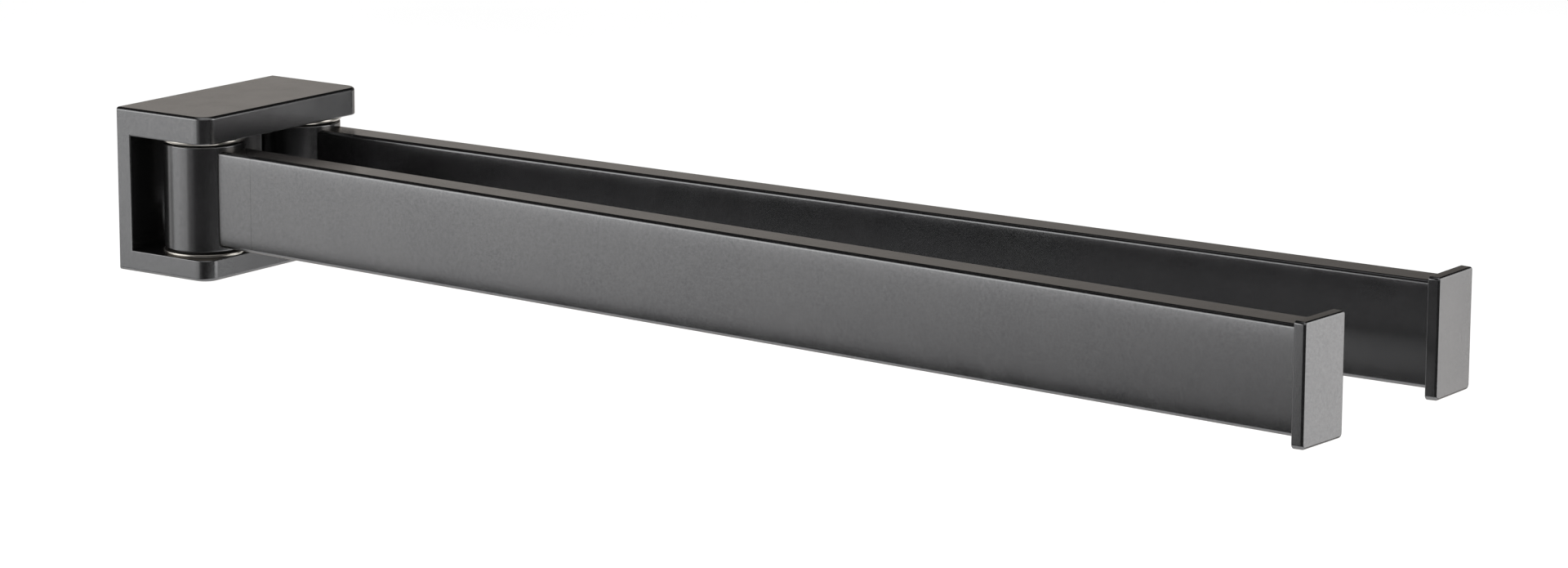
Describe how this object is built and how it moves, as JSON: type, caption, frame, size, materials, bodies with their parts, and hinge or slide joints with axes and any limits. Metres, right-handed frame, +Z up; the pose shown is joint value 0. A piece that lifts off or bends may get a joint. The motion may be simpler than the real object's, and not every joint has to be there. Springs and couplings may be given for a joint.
{
  "type": "double swing-arm towel bar",
  "caption": "Wall bracket with flat swing arms side by side on upright pins, each with a squared end cap, to hang towels over.",
  "frame": {"origin": "middle of the mounting face, in the wall's plane, halfway between the two screw holes", "axes": "+Y into the wall, +Z up, +X along the wall; the arms reach out along -Y"},
  "size_m": [0.0905, 0.4301, 0.051],
  "materials": {
    "gunmetal": "dark gunmetal, satin",
    "washer_steel": "turned, bright at the rim",
    "fastener_steel": "machined, plain",
    "plate_steel": "zinc plated, dull",
    "bush_polymer": "black, matte",
    "ring_rubber": "black, matte"
  },
  "bodies": {
    "base": {"bracket": "gunmetal", "wall_plate": "plate_steel", "bracket_clamp_screws": "fastener_steel", "left_pivot_pin": "fastener_steel", "left_upper_washer": "washer_steel", "left_lower_washer": "washer_steel", "left_friction_ring": "ring_rubber", "right_pivot_pin": "fastener_steel", "right_upper_washer": "washer_steel", "right_lower_washer": "washer_steel", "right_friction_ring": "ring_rubber"},
    "left_arm": {"left_knuckle": "gunmetal", "left_arm_tube": "gunmetal", "left_end_cap": "gunmetal", "left_upper_bush": "bush_polymer", "left_lower_bush": "bush_polymer", "left_arm_lock_screw": "fastener_steel"},
    "right_arm": {"right_knuckle": "gunmetal", "right_arm_tube": "gunmetal", "right_end_cap": "gunmetal", "right_upper_bush": "bush_polymer", "right_lower_bush": "bush_polymer", "right_arm_lock_screw": "fastener_steel"}
  },
  "joints": [
    {"name": "left_swing", "type": "hinge", "parent": "base", "child": "left_arm", "pos_m": [-0.0228, -0.0232, 0], "axis": [0, 0, 1], "range_deg": [-87, 4.5]},
    {"name": "right_swing", "type": "hinge", "parent": "base", "child": "right_arm", "pos_m": [0.0228, -0.0232, 0], "axis": [0, 0, 1], "range_deg": [-2, 89.5]}
  ]
}
